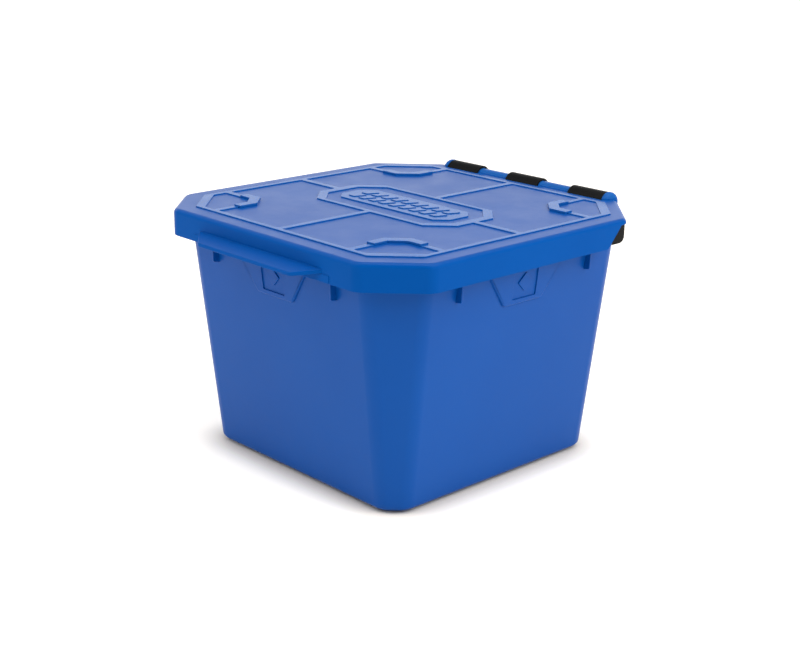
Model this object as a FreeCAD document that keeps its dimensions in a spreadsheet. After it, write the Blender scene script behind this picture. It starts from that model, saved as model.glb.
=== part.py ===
import FreeCAD, Part
import math
import os
import Sketcher

# A square moulded tub with cut corners, its lid, and the hinge bracket that joins them.
# Millimetres. Origin: middle of the base, on the surface the tub stands on.
# +Z is up, the lid's finger lip is at -Y and the hinge at +Y.

SIZES = [
    # tub
    ("base_width", 268.0),        # across the flats, at the bottom of the walls
    ("base_chamfer", 17.0),       # how much of each side a cut corner takes, at the bottom
    ("rim_width", 323.6),         # across the flats, at the rim
    ("rim_chamfer", 40.0),
    ("rim_height", 237.7),
    ("wall", 3.0),
    ("foot_height", 1.8),
    ("foot_near", 100.5),         # the feet are cut-corner pads under the corners
    ("foot_far", 122.0),
    ("foot_inner_turn", 111.0),
    ("foot_outer_turn", 107.0),
    ("upright_round", 20.0),      # blend between two walls
    ("base_round", 6.0),          # blend between a wall and the base
    ("flange_width", 340.0),      # the rim's outward flange
    ("flange_chamfer", 50.5),
    ("flange_thickness", 3.0),
    ("curtain_depth", 12.5),      # the flange's turned-down edge, from the top of the rim
    ("curtain_wall", 2.2),
    ("curtain_end", 84.0),        # how far back it runs along the sides
    ("gusset_place", 84.0),       # from the middle of a wall
    ("gusset_thickness", 2.2),
    ("gusset_reach", 6.5),
    ("gusset_bottom", 195.0),
    ("shield_low_half", 24.5),    # half widths of the raised shield under the rim
    ("shield_high_half", 57.0),
    ("shield_bottom", 179.0),
    ("shield_top", 225.0),
    ("shield_raise", 2.3),
    ("shield_panel_half", 15.5),  # the sunk panel inside its border
    ("shield_panel_bottom", 184.0),
    ("shield_panel_raise", 1.1),
    ("shield_mark_half", 9.0),    # a plain lozenge on the panel
    ("shield_mark_middle", 199.0),
    ("shield_mark_raise", 2.2),
    # lid
    ("lid_width", 350.0),
    ("lid_chamfer", 55.0),        # at the rear corners
    ("lid_front_chamfer", 45.5),
    ("lid_top", 240.5),
    ("lid_thickness", 2.5),
    ("lid_corner_round", 12.0),
    ("lid_front_round", 16.0),
    ("lid_edge_round", 4.6),
    ("skirt_depth", 25.5),
    ("skirt_wall", 2.5),
    ("skirt_end_low", 95.0),      # the side skirts end in a slant, from this y at the bottom
    ("skirt_end_high", 112.8),    # to this y at the shallow rear edge
    ("rear_edge_depth", 5.5),
    ("plug_width", 311.0),        # rib under the lid that locates it inside the rim
    ("plug_chamfer", 39.0),
    ("plug_wall", 2.0),
    ("plug_depth", 8.0),
    ("rib_height", 1.05),         # flat ribs on the lid
    ("frame_width", 310.0),
    ("frame_chamfer", 34.3),
    ("frame_inner_width", 299.0),
    ("frame_inner_chamfer", 36.5),
    ("spoke_half", 3.5),
    ("badge_half_long", 96.3),
    ("badge_half_wide", 45.9),
    ("badge_chamfer", 22.8),
    ("badge_inner_long", 86.6),
    ("badge_inner_wide", 40.3),
    ("badge_inner_chamfer", 20.5),
    ("plaque_half_long", 75.3),
    ("plaque_half_wide", 23.5),
    ("plaque_chamfer", 11.6),
    ("hatch_half_long", 56.0),    # two rows of slanted blocks on the plaque
    ("hatch_block", 4.2),         # half the width of a block
    ("hatch_slant", 2.6),         # half of how far its top leans over its bottom
    ("hatch_near", 2.2),
    ("hatch_far", 14.6),
    ("hatch_height", 1.9),
    ("locator_outer", 88.9),      # raised corner locators for a tub stacked on top
    ("locator_inner", 98.7),
    ("locator_outer_turn", 106.8),
    ("locator_inner_turn", 111.3),
    ("locator_end", 126.7),
    ("locator_height", 2.45),
    ("side_rib_outer", 91.8),
    ("lip_root_half", 88.5),      # finger lip on the front skirt
    ("lip_tip_half", 66.0),
    ("lip_reach", 18.0),
    ("lip_root_top", 226.7),
    ("lip_root_bottom", 222.4),
    ("lip_tip_top", 222.4),
    ("lip_tip_bottom", 218.8),
    ("lip_corner_round", 9.0),
    ("patch_half", 96.4),         # thin raised patch on the skirt under the lip
    ("patch_top", 222.5),
    ("patch_raise", 0.5),
    # hinge
    ("axis_back", 175.5),         # the hinge axis runs along X at this y and z
    ("axis_height", 236.0),
    ("rod_radius", 8.0),
    ("hook_bore", 8.1),           # runs on the rod with 0.1 mm all round
    ("hook_radius", 10.5),
    ("hook_half", 21.75),
    ("hook_pitch", 84.5),
    ("hook_gap", 0.6),            # end play between a hook and the lid
    ("hook_from", -98.0),         # the hook runs round the rod from this angle
    ("hook_to", 158.0),           # to this one, and is open below the lid's edge
    ("lug_radius", 10.8),
    ("lug_end", 113.5),
    ("lug_round", 4.5),
    ("bay_gap", 0.7),             # between the lid's rear edge and the hooks
    ("web_top", 241.3),
    ("bracket_half", 117.25),
    ("bracket_bottom", 194.5),
    ("bracket_top", 218.0),
    ("bracket_back", 193.0),
    ("bracket_wall", 2.5),
    ("bracket_round", 7.0),
    ("bracket_gap", 0.15),        # between the bracket and the tub's rear wall
    ("bracket_rib_place", 8.7),   # the ribs inside it stand either side of a hook's middle
    ("stem_front", -1.5),         # the stem under each hook, from the axis
    ("stem_back", 6.0),
    ("screw_height", 207.0),
    ("screw_place_near", 42.25),
    ("screw_place_far", 100.0),
    ("screw_seat", 172.0),
    ("screw_shank_radius", 2.0),
    ("screw_shank_length", 12.5),
    ("screw_head_radius", 3.8),
    ("screw_head_height", 2.6),
    ("screw_slot_width", 1.1),
    ("screw_slot_depth", 1.4),
    ("pilot_radius", 1.75),
    ("boss_radius", 4.6),
    ("boss_face", 166.0),
    ("tower_radius", 6.2),
    ("counterbore_radius", 4.4),
    ("clearance_radius", 2.2),
]

SHEET = "dims"
RIM_DRAFT = ("atan((dims.rim_width - dims.base_width) / 2 "
             "/ (dims.rim_height - dims.foot_height))")
RIM_SLOPE = "((dims.rim_width - dims.base_width) / 2 / (dims.rim_height - dims.foot_height))"
OCTAGON_STEP = math.sqrt(2) - 1     # how a 45 degree corner moves when its outline is inset

doc = FreeCAD.newDocument("lidded_tub")


def make_sheet():
    sheet = doc.addObject("Spreadsheet::Sheet", SHEET)
    for row, (alias, size) in enumerate(SIZES, start=1):
        sheet.set(f"A{row}", alias)
        sheet.set(f"B{row}", str(size))
        sheet.setAlias(f"B{row}", alias)
    doc.recompute()
    return sheet


dims = make_sheet()


def value(expression):
    return float(dims.evalExpression(expression))


# Sketches: every corner is a pair of expressions, and each is bound to the sheet.

def attach(sketch, body, role, offset):
    plane = next(f for f in body.Origin.OriginFeatures if f.Role == role)
    sketch.AttachmentSupport = [(plane, "")]
    sketch.MapMode = "FlatFace"
    sketch.setExpression("AttachmentOffset.Base.z", offset)


def bind_point(sketch, geometry, end, point, tag):
    for kind, expression, axis in (("DistanceX", point[0], "x"), ("DistanceY", point[1], "y")):
        index = sketch.addConstraint(
            Sketcher.Constraint(kind, -1, 1, geometry, end, value(expression)))
        name = f"{tag}_{axis}"
        sketch.renameConstraint(index, name)
        sketch.setExpression(f"Constraints.{name}", expression)


def add_loop(sketch, points, tag):
    corners = [FreeCAD.Vector(value(x), value(y), 0) for x, y in points]
    first = sketch.GeometryCount
    count = len(corners)
    for i in range(count):
        sketch.addGeometry(Part.LineSegment(corners[i], corners[(i + 1) % count]), False)
    for i in range(count):
        following = first + (i + 1) % count
        sketch.addConstraint(Sketcher.Constraint("Coincident", first + i, 2, following, 1))
    for i, point in enumerate(points):
        bind_point(sketch, first + i, 1, point, f"{tag}{i}")


def polygons(body, name, role, offset, *loops):
    sketch = body.newObject("Sketcher::SketchObject", name)
    attach(sketch, body, role, offset)
    for number, points in enumerate(loops):
        add_loop(sketch, points, f"loop{number}_")
    return sketch


def circles(body, name, role, offset, radius, centres):
    sketch = body.newObject("Sketcher::SketchObject", name)
    attach(sketch, body, role, offset)
    for number, centre in enumerate(centres):
        middle = FreeCAD.Vector(value(centre[0]), value(centre[1]), 0)
        index = sketch.addGeometry(
            Part.Circle(middle, FreeCAD.Vector(0, 0, 1), value(radius)), False)
        bind_point(sketch, index, 3, centre, f"centre{number}")
        limit = sketch.addConstraint(Sketcher.Constraint("Radius", index, value(radius)))
        sketch.renameConstraint(limit, f"radius{number}")
        sketch.setExpression(f"Constraints.radius{number}", radius)
    return sketch


def octagon(width, chamfer, inset="0"):
    """Corners of a square outline with cut corners, given its width across the flats."""
    far = f"({width} / 2 - {inset})"
    near = f"({width} / 2 - {chamfer} - {OCTAGON_STEP} * {inset})"
    return [(far, f"-{near}"), (far, near), (near, far), (f"-{near}", far),
            (f"-{far}", near), (f"-{far}", f"-{near}"), (f"-{near}", f"-{far}"),
            (near, f"-{far}")]


def long_octagon(half_long, half_wide, chamfer):
    """The same with different half widths along x and y."""
    short_x = f"({half_long} - {chamfer})"
    short_y = f"({half_wide} - {chamfer})"
    return [(half_long, f"-{short_y}"), (half_long, short_y), (short_x, half_wide),
            (f"-{short_x}", half_wide), (f"-{half_long}", short_y),
            (f"-{half_long}", f"-{short_y}"), (f"-{short_x}", f"-{half_wide}"),
            (short_x, f"-{half_wide}")]


def rectangle(low_x, low_y, high_x, high_y):
    return [(low_x, low_y), (high_x, low_y), (high_x, high_y), (low_x, high_y)]


# Features

def new_body(name):
    body = doc.addObject("PartDesign::Body", name)
    body.Label = name
    return body


def pad(body, sketch, length, reverse=False, symmetric=False):
    feature = body.newObject("PartDesign::Pad", sketch.Name + "_pad")
    feature.Profile = sketch
    feature.setExpression("Length", length)
    feature.Reversed = reverse
    feature.SideType = "Symmetric" if symmetric else "One side"
    sketch.Visibility = False
    doc.recompute()
    return feature


def pocket(body, sketch, length, reverse=False, symmetric=False):
    before = body.Shape.Volume
    feature = body.newObject("PartDesign::Pocket", sketch.Name + "_pocket")
    feature.Profile = sketch
    feature.setExpression("Length", length)
    feature.Reversed = reverse
    feature.SideType = "Symmetric" if symmetric else "One side"
    sketch.Visibility = False
    doc.recompute()
    if not feature.Shape.Volume < before - 1.0:
        raise RuntimeError(feature.Name + " removes nothing")
    return feature


def loft(body, kind, name, first, last):
    feature = body.newObject(kind, name)
    feature.Profile = first
    feature.Sections = [last]
    doc.recompute()
    return feature


def edge_names(feature, test):
    return [f"Edge{i}" for i, edge in enumerate(feature.Shape.Edges, start=1) if test(edge)]


def fillet(body, base, name, radius, test):
    feature = body.newObject("PartDesign::Fillet", name)
    feature.Base = (base, edge_names(base, test))
    feature.setExpression("Radius", radius)
    doc.recompute()
    return feature


def polar(body, name, originals, angle, count, reverse=False):
    feature = body.newObject("PartDesign::PolarPattern", name)
    feature.Originals = originals
    axis = next(f for f in body.Origin.OriginFeatures if f.Role == "Z_Axis")
    feature.Axis = (axis, [""])
    feature.Angle = angle
    feature.Occurrences = count
    feature.Reversed = reverse
    body.Tip = feature
    doc.recompute()
    return feature


def mirror(body, name, originals, role):
    feature = body.newObject("PartDesign::Mirrored", name)
    feature.Originals = originals
    plane = next(f for f in body.Origin.OriginFeatures if f.Role == role)
    feature.MirrorPlane = (plane, [""])
    body.Tip = feature
    doc.recompute()
    return feature


# Tests that pick edges by where they are

def rises(edge):
    """True for a straight edge that runs from low to high, as a corner does."""
    low, high = edge.BoundBox.ZMin, edge.BoundBox.ZMax
    return len(edge.Vertexes) == 2 and high - low > 0.8 * edge.Length and edge.Length > 15


def at_height(height):
    return lambda edge: max(abs(edge.BoundBox.ZMin - height),
                            abs(edge.BoundBox.ZMax - height)) < 0.01


def screw_places(depth_or_height):
    places = ("-dims.screw_place_far", "-dims.screw_place_near",
              "dims.screw_place_near", "dims.screw_place_far")
    return [(place, depth_or_height) for place in places]


# Tub

def wall_sketch(body, name, loops):
    """A sketch in the sloping plane of the right-hand wall, x along Y and y up the slope."""
    sketch = polygons(body, name, "YZ_Plane",
                      f"dims.base_width / 2 - {RIM_SLOPE} * dims.foot_height", *loops)
    offset = sketch.AttachmentOffset
    sketch.AttachmentOffset = FreeCAD.Placement(
        offset.Base, FreeCAD.Rotation(FreeCAD.Vector(1, 0, 0), value(RIM_DRAFT)))
    return sketch


def up_slope(height):
    return f"({height} / cos({RIM_DRAFT}))"


def make_shell(body):
    """The block with blended edges, hollowed by a second loft that keeps the wall even."""
    foot, rim = "dims.foot_height", "dims.rim_height"
    low = polygons(body, "tub_base", "XY_Plane", foot,
                   octagon("dims.base_width", "dims.base_chamfer"))
    high = polygons(body, "tub_rim", "XY_Plane", rim,
                    octagon("dims.rim_width", "dims.rim_chamfer"))
    block = loft(body, "PartDesign::AdditiveLoft", "tub_block", high, low)
    corners = fillet(body, block, "tub_corners", "dims.upright_round", rises)
    fillet(body, corners, "tub_base_blend", "dims.base_round",
           at_height(value("dims.foot_height")))
    inset = f"(dims.wall / cos({RIM_DRAFT}))"
    floor_width = f"(dims.base_width + 2 * {RIM_SLOPE} * dims.wall)"
    floor_chamfer = (f"(dims.base_chamfer + (dims.rim_chamfer - dims.base_chamfer) "
                     f"* dims.wall / ({rim} - {foot}))")
    floor = polygons(body, "tub_floor", "XY_Plane", f"{foot} + dims.wall",
                     octagon(floor_width, floor_chamfer, inset))
    mouth = polygons(body, "tub_mouth", "XY_Plane", rim,
                     octagon("dims.rim_width", "dims.rim_chamfer", inset))
    hollow = loft(body, "PartDesign::SubtractiveLoft", "tub_hollow", mouth, floor)
    flat = value("dims.rim_width / 2 - dims.wall")
    diagonal = value("dims.rim_width - dims.rim_chamfer - dims.wall")

    def inner_upright(edge):
        top = max(edge.Vertexes, key=lambda corner: corner.Point.z).Point
        x, y = abs(top.x), abs(top.y)
        return rises(edge) and max(x, y) < flat and x + y < diagonal

    uprights = fillet(body, hollow, "tub_inner_corners", "dims.upright_round - dims.wall",
                      inner_upright)
    fillet(body, uprights, "tub_inner_base", "dims.base_round - dims.wall",
           at_height(value("dims.foot_height + dims.wall")))


def make_rim(body):
    outer = octagon("dims.flange_width", "dims.flange_chamfer")
    root = octagon("dims.rim_width", "dims.rim_chamfer", "(dims.wall / 2)")
    # the octagon's corners 2 and 3 are the rear ones: the band stops there
    band = [outer[2], outer[1], outer[0], outer[7], outer[6], outer[5], outer[4], outer[3],
            root[3], root[4], root[5], root[6], root[7], root[0], root[1], root[2]]
    flange = polygons(body, "rim_flange", "XY_Plane", "dims.rim_height", band)
    pad(body, flange, "dims.flange_thickness", reverse=True)
    inside = octagon("dims.flange_width", "dims.flange_chamfer", "dims.curtain_wall")
    end = "dims.curtain_end"
    curtain = [(outer[0][0], end), outer[0], outer[7], outer[6], outer[5], (outer[5][0], end),
               (inside[5][0], end), inside[5], inside[6], inside[7], inside[0],
               (inside[0][0], end)]
    turned = polygons(body, "rim_curtain", "XY_Plane", "dims.rim_height", curtain)
    pad(body, turned, "dims.curtain_depth", reverse=True)


def make_shields(body):
    """A bordered shield under the rim, in the middle of the right, front and left walls."""
    low, high = up_slope("dims.shield_bottom"), up_slope("dims.shield_top")
    half_low, half_high = "dims.shield_low_half", "dims.shield_high_half"
    panel_half, sill = "dims.shield_panel_half", up_slope("dims.shield_panel_bottom")
    outer = [(f"-{half_low}", low), (half_low, low), (half_high, high), (f"-{half_high}", high)]
    lintel = f"({high} - 1)"
    inner = rectangle(f"-{panel_half}", sill, panel_half, lintel)
    border = wall_sketch(body, "shield_border", [outer, inner])
    panel = wall_sketch(body, "shield_panel", [inner])
    middle, half = up_slope("dims.shield_mark_middle"), "dims.shield_mark_half"
    mark = wall_sketch(body, "shield_mark", [[("0", f"{middle} - {half}"), (half, middle),
                                              ("0", f"{middle} + {half}"),
                                              (f"-{half}", middle)]])
    return [pad(body, border, "dims.shield_raise"), pad(body, panel, "dims.shield_panel_raise"),
            pad(body, mark, "dims.shield_mark_raise")]


def make_gussets(body):
    low = "dims.gusset_bottom"
    start = f"(dims.base_width / 2 + {RIM_SLOPE} * ({low} - dims.foot_height))"
    high = "dims.rim_height - dims.curtain_depth + 1"
    outer = f"({start} + dims.gusset_reach)"
    profile = [(f"{start} - 1", low), (f"{start} + 1", low), (outer, f"{low} + 1"),
               (f"{outer} + 1.5", high), (f"{start} + 2", high)]
    features = []
    for side, sign in (("left", "-"), ("right", "")):
        sketch = polygons(body, f"gusset_{side}", "XZ_Plane",
                          f"{sign}dims.gusset_place", profile)
        features.append(pad(body, sketch, "dims.gusset_thickness", symmetric=True))
    return features


def make_feet(body):
    near, far = "dims.foot_near", "dims.foot_far"
    turn_in, turn_out = "dims.foot_inner_turn", "dims.foot_outer_turn"
    outline = [(near, turn_in), (near, far), (turn_out, far), (far, turn_out), (far, near),
               (turn_in, near)]
    sketch = polygons(body, "foot", "XY_Plane", "0", outline)
    foot = pad(body, sketch, "dims.foot_height + 1")
    polar(body, "feet", [foot], 360, 4)


def make_bosses(body):
    places = screw_places("dims.screw_height")
    boss = circles(body, "screw_boss", "XZ_Plane", "-dims.boss_face", "dims.boss_radius", places)
    pad(body, boss, "dims.boss_face - 156.5")
    pilot = circles(body, "screw_pilot", "XZ_Plane", "-dims.boss_face", "dims.pilot_radius",
                    places)
    pocket(body, pilot, "dims.screw_shank_length - 5", reverse=True)


def make_tub():
    body = new_body("tub")
    make_shell(body)
    make_rim(body)
    marks = make_shields(body) + make_gussets(body)
    polar(body, "wall_marks", marks, 180, 3, reverse=True)
    make_feet(body)
    make_bosses(body)
    return body


# Lid

def lid_octagon(inset="0"):
    """The lid's outline: its front corners are cut less than its rear ones."""
    rear = octagon("dims.lid_width", "dims.lid_chamfer", inset)
    front = octagon("dims.lid_width", "dims.lid_front_chamfer", inset)
    return [front[0], *rear[1:5], *front[5:]]


def make_lid_block(body):
    bottom = "dims.lid_top - dims.skirt_depth"
    outline = polygons(body, "lid_outline", "XY_Plane", bottom, lid_octagon())
    block = pad(body, outline, "dims.skirt_depth")
    rear = fillet(body, block, "lid_rear_corners", "dims.lid_corner_round",
                  lambda edge: rises(edge) and edge.BoundBox.YMin > 0)
    front = fillet(body, rear, "lid_front_corners", "dims.lid_front_round",
                   lambda edge: rises(edge) and edge.BoundBox.YMax < 0)
    fillet(body, front, "lid_top_edge", "dims.lid_edge_round", at_height(value("dims.lid_top")))
    inside = polygons(body, "lid_inside", "XY_Plane", bottom, lid_octagon("dims.skirt_wall"))
    hollow = pocket(body, inside, "dims.skirt_depth - dims.lid_thickness", reverse=True)

    def inner_corner(edge):
        return rises(edge) \
            and abs(edge.Length - value("dims.skirt_depth - dims.lid_thickness")) < 0.01

    back = fillet(body, hollow, "lid_inner_rear", "dims.lid_corner_round - dims.skirt_wall",
                  lambda edge: inner_corner(edge) and edge.BoundBox.YMin > 0)
    fillet(body, back, "lid_inner_front", "dims.lid_front_round - dims.skirt_wall",
           lambda edge: inner_corner(edge) and edge.BoundBox.YMax < 0)


def cut_rear(body):
    """The side skirts end in a slant, the rear edge is shallow, and the hinge has a bay."""
    shallow = "dims.lid_top - dims.rear_edge_depth"
    below = "dims.lid_top - dims.skirt_depth - 1"
    back = "dims.lid_width / 2 + 1"
    slant = polygons(body, "skirt_end", "YZ_Plane", "0",
                     [("dims.skirt_end_low", below), (back, below), (back, shallow),
                      ("dims.skirt_end_high", shallow)])
    pocket(body, slant, "dims.lid_width + 2", symmetric=True)
    side = "(dims.hook_pitch + dims.hook_half + dims.hook_gap)"
    front = "dims.axis_back - dims.hook_radius - dims.bay_gap"
    bay = polygons(body, "hinge_bay", "XY_Plane", "dims.lid_top + 1",
                   rectangle(f"-{side}", front, side, back))
    pocket(body, bay, "dims.skirt_depth")


def make_plug(body):
    under = "dims.lid_top - dims.lid_thickness"
    sketch = polygons(body, "plug_rib", "XY_Plane", under,
                      octagon("dims.plug_width", "dims.plug_chamfer"),
                      octagon("dims.plug_width", "dims.plug_chamfer", "dims.plug_wall"))
    pad(body, sketch, "dims.plug_depth", reverse=True)


def make_top_ribs(body):
    top = "dims.lid_top"
    frame = polygons(body, "frame_rib", "XY_Plane", top,
                     octagon("dims.frame_width", "dims.frame_chamfer"),
                     octagon("dims.frame_inner_width", "dims.frame_inner_chamfer"))
    pad(body, frame, "dims.rib_height")
    badge = polygons(body, "badge_ring", "XY_Plane", top,
                     long_octagon("dims.badge_half_long", "dims.badge_half_wide",
                                  "dims.badge_chamfer"),
                     long_octagon("dims.badge_inner_long", "dims.badge_inner_wide",
                                  "dims.badge_inner_chamfer"))
    pad(body, badge, "dims.rib_height")
    plaque = polygons(body, "plaque", "XY_Plane", top,
                      long_octagon("dims.plaque_half_long", "dims.plaque_half_wide",
                                   "dims.plaque_chamfer"))
    pad(body, plaque, "dims.rib_height")
    half, end = "dims.spoke_half", "(dims.frame_inner_width / 2 + 1)"
    along, across = "(dims.badge_half_long - 1)", "(dims.badge_half_wide - 1)"
    spokes = polygons(body, "spokes", "XY_Plane", top,
                      rectangle(along, f"-{half}", end, half),
                      rectangle(f"-{end}", f"-{half}", f"-{along}", half),
                      rectangle(f"-{half}", across, half, end),
                      rectangle(f"-{half}", f"-{end}", half, f"-{across}"))
    pad(body, spokes, "dims.rib_height")
    make_hatch(body)


def make_hatch(body):
    """Two rows of slanted blocks on the plaque."""
    first, half, lean = "-dims.hatch_half_long", "dims.hatch_block", "dims.hatch_slant"
    near, far = "dims.hatch_near", "dims.hatch_far"
    blocks = [[(f"{first} - {half} - {lean}", low), (f"{first} + {half} - {lean}", low),
               (f"{first} + {half} + {lean}", high), (f"{first} - {half} + {lean}", high)]
              for low, high in ((near, far), (f"-{far}", f"-{near}"))]
    sketch = polygons(body, "hatch", "XY_Plane", "dims.lid_top", *blocks)
    block_pad = pad(body, sketch, "dims.hatch_height")
    row = body.newObject("PartDesign::LinearPattern", "hatch_rows")
    row.Originals = [block_pad]
    axis = next(f for f in body.Origin.OriginFeatures if f.Role == "X_Axis")
    row.Direction = (axis, [""])
    row.setExpression("Length", "2 * dims.hatch_half_long")
    row.Occurrences = 9
    body.Tip = row
    doc.recompute()


def make_locators(body):
    """Corner locators and their flat side ribs, alike in all four corners."""
    top = "dims.lid_top"
    out, turn_out = "dims.locator_outer", "dims.locator_outer_turn"
    inn, turn_in, end = "dims.locator_inner", "dims.locator_inner_turn", "dims.locator_end"
    bracket = polygons(body, "locator", "XY_Plane", top,
                       [(end, out), (turn_out, out), (out, turn_out), (out, end), (inn, end),
                        (inn, turn_in), (turn_in, inn), (end, inn)])
    bracket_pad = pad(body, bracket, "dims.locator_height")
    rib, far = "dims.side_rib_outer", "(dims.frame_inner_width / 2 + 1)"
    ribs = polygons(body, "side_ribs", "XY_Plane", top,
                    rectangle(f"{end} - 1", rib, far, inn),
                    rectangle(rib, f"{end} - 1", inn, far))
    ribs_pad = pad(body, ribs, "dims.rib_height")
    polar(body, "locators", [bracket_pad, ribs_pad], 360, 4)


def make_lip(body):
    face = "-dims.lid_width / 2"
    tip = f"({face} - dims.lip_reach)"
    profile = [(f"{face} + 1", "dims.lip_root_top"), (f"{face} + 1", "dims.lip_root_bottom"),
               (f"{tip} + 1.5", "dims.lip_tip_bottom"), (tip, "dims.lip_tip_bottom + 1"),
               (tip, "dims.lip_tip_top - 1"), (f"{tip} + 1.5", "dims.lip_tip_top")]
    sketch = polygons(body, "finger_lip", "YZ_Plane", "0", profile)
    pad(body, sketch, "2 * dims.lip_root_half", symmetric=True)
    ends = [[(f"{sign}dims.lip_root_half", face),
             (f"{sign}dims.lip_tip_half", tip),
             (f"{sign}dims.lip_tip_half", f"{tip} - 1"),
             (f"{sign}(dims.lip_root_half + 1)", f"{tip} - 1"),
             (f"{sign}(dims.lip_root_half + 1)", face)] for sign in ("", "-")]
    taper = polygons(body, "lip_ends", "XY_Plane", "dims.lip_root_top + 1", *ends)
    tapered = pocket(body, taper, "12")
    half, reach = value("dims.lip_tip_half"), value(tip)

    def outer_corner(edge):
        box = edge.BoundBox
        return abs(abs(box.Center.x) - half) < 0.5 and abs(box.Center.y - reach) < 1.0 \
            and box.YLength < 0.01 and box.XLength < 0.01

    fillet(body, tapered, "lip_corners", "dims.lip_corner_round", outer_corner)
    patch = polygons(body, "lip_patch", "XZ_Plane", "dims.lid_width / 2",
                     rectangle("-dims.patch_half", "dims.lid_top - dims.skirt_depth",
                               "dims.patch_half", "dims.patch_top"))
    pad(body, patch, "dims.patch_raise")


def make_knuckles(body):
    """The rod that the hooks hold, its end lugs, and the webs that join it to the lid."""
    centre = [("dims.axis_back", "dims.axis_height")]
    rod = circles(body, "hinge_rod", "YZ_Plane", "0", "dims.rod_radius", centre)
    pad(body, rod, "2 * (dims.lug_end - 1)", symmetric=True)
    inner = "(dims.hook_pitch + dims.hook_half + dims.hook_gap)"
    lug = circles(body, "hinge_lug", "YZ_Plane", inner, "dims.lug_radius", centre)
    lug_pad = pad(body, lug, f"dims.lug_end - {inner}")
    end = value("dims.lug_end")
    axis = value("dims.axis_back")

    def lug_rim(edge):
        box = edge.BoundBox
        return abs(box.XMin - end) < 0.01 and box.XLength < 0.01 and box.YMax > axis + 5

    rounded = fillet(body, lug_pad, "lug_end_blend", "dims.lug_round", lug_rim)
    start = "(dims.hook_half + dims.hook_gap)"
    edge_y = "(dims.axis_back - dims.hook_radius - dims.bay_gap)"
    web = polygons(body, "hinge_web", "YZ_Plane", start,
                   [(f"{edge_y} - 2", "dims.lid_top - dims.lid_thickness"),
                    (f"{edge_y} - 2", "dims.lid_top"),
                    (f"{edge_y} + 0.3", "dims.lid_top"),
                    (f"{edge_y} + 1.9", "dims.lid_top - 1.3"),
                    (f"{edge_y} + 4.1", "dims.web_top"),
                    ("dims.axis_back", "dims.web_top"),
                    ("dims.axis_back", "dims.axis_height - 3"),
                    (f"{edge_y} + 2.7", "dims.lid_top - 4.9")])
    web_pad = pad(body, web, f"dims.hook_pitch - 2 * {start}")
    mirror(body, "left_knuckles", [lug_pad, rounded, web_pad], "YZ_Plane")


def make_lid():
    body = new_body("lid")
    make_lid_block(body)
    cut_rear(body)
    make_plug(body)
    make_top_ribs(body)
    make_locators(body)
    make_lip(body)
    make_knuckles(body)
    return body


# Hinge bracket

def bracket_profile(front_shift="0", inset="0"):
    """Side outline: it lies along the tub's sloping rear wall."""
    low, high = "dims.bracket_bottom", "dims.bracket_top"
    wall_y = "(dims.base_width / 2 + {} * ({} - dims.foot_height) + dims.bracket_gap - {})"
    return [(wall_y.format(RIM_SLOPE, low, front_shift), f"{low} + {inset}"),
            (f"dims.bracket_back - {inset}", f"{low} + {inset}"),
            (f"dims.bracket_back - {inset}", f"{high} - {inset}"),
            (wall_y.format(RIM_SLOPE, high, front_shift), f"{high} - {inset}")]


def make_bracket_body(body):
    outline = polygons(body, "bracket_outline", "YZ_Plane", "0", bracket_profile())
    block = pad(body, outline, "2 * dims.bracket_half", symmetric=True)
    low, back = value("dims.bracket_bottom"), value("dims.bracket_back")
    high = value("dims.bracket_top")

    def rear_low(edge):
        box = edge.BoundBox
        return box.XLength > 100 and box.ZMax < low + 0.01 and box.YMin > back - 0.01

    def rear_high(edge):
        box = edge.BoundBox
        return box.XLength > 100 and box.ZMin > high - 0.01 and box.YMin > back - 0.01

    lower = fillet(body, block, "bracket_low_edge", "dims.bracket_round", rear_low)
    upper = fillet(body, lower, "bracket_high_edge", "dims.bracket_wall", rear_high)
    half = value("dims.bracket_half")

    def end_edge(edge):
        box = edge.BoundBox
        return box.XLength < 0.01 and abs(box.XMin) > half - 0.01 and box.YMax > 170

    fillet(body, upper, "bracket_end_edges", "1.5", end_edge)
    inside = polygons(body, "bracket_inside", "YZ_Plane", "0",
                      bracket_profile("5", "dims.bracket_wall"))
    hollow = pocket(body, inside, "2 * (dims.bracket_half - dims.bracket_wall)", symmetric=True)
    wall = value("dims.bracket_wall")

    def inner_low(edge):
        box = edge.BoundBox
        return box.XLength > 100 and abs(box.Center.z - low - wall) < 0.01 \
            and abs(box.Center.y - back + wall) < 0.01

    fillet(body, hollow, "bracket_inner_edge", "dims.bracket_round - dims.bracket_wall",
           inner_low)


def make_bracket_ribs(body):
    profile = bracket_profile("0", "(dims.bracket_wall / 2)")
    for number in (-1, 0, 1):
        for side in (-1, 1):
            place = f"{number} * dims.hook_pitch + {side} * dims.bracket_rib_place"
            name = f"bracket_rib_{number + 1}_{(side + 1) // 2}"
            sketch = polygons(body, name, "YZ_Plane", place,
                              [profile[0], (profile[1][0] + " - 5", profile[1][1]),
                               (profile[1][0], profile[1][1] + " + 5"),
                               profile[2], profile[3]])
            pad(body, sketch, "2", symmetric=True)


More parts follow.
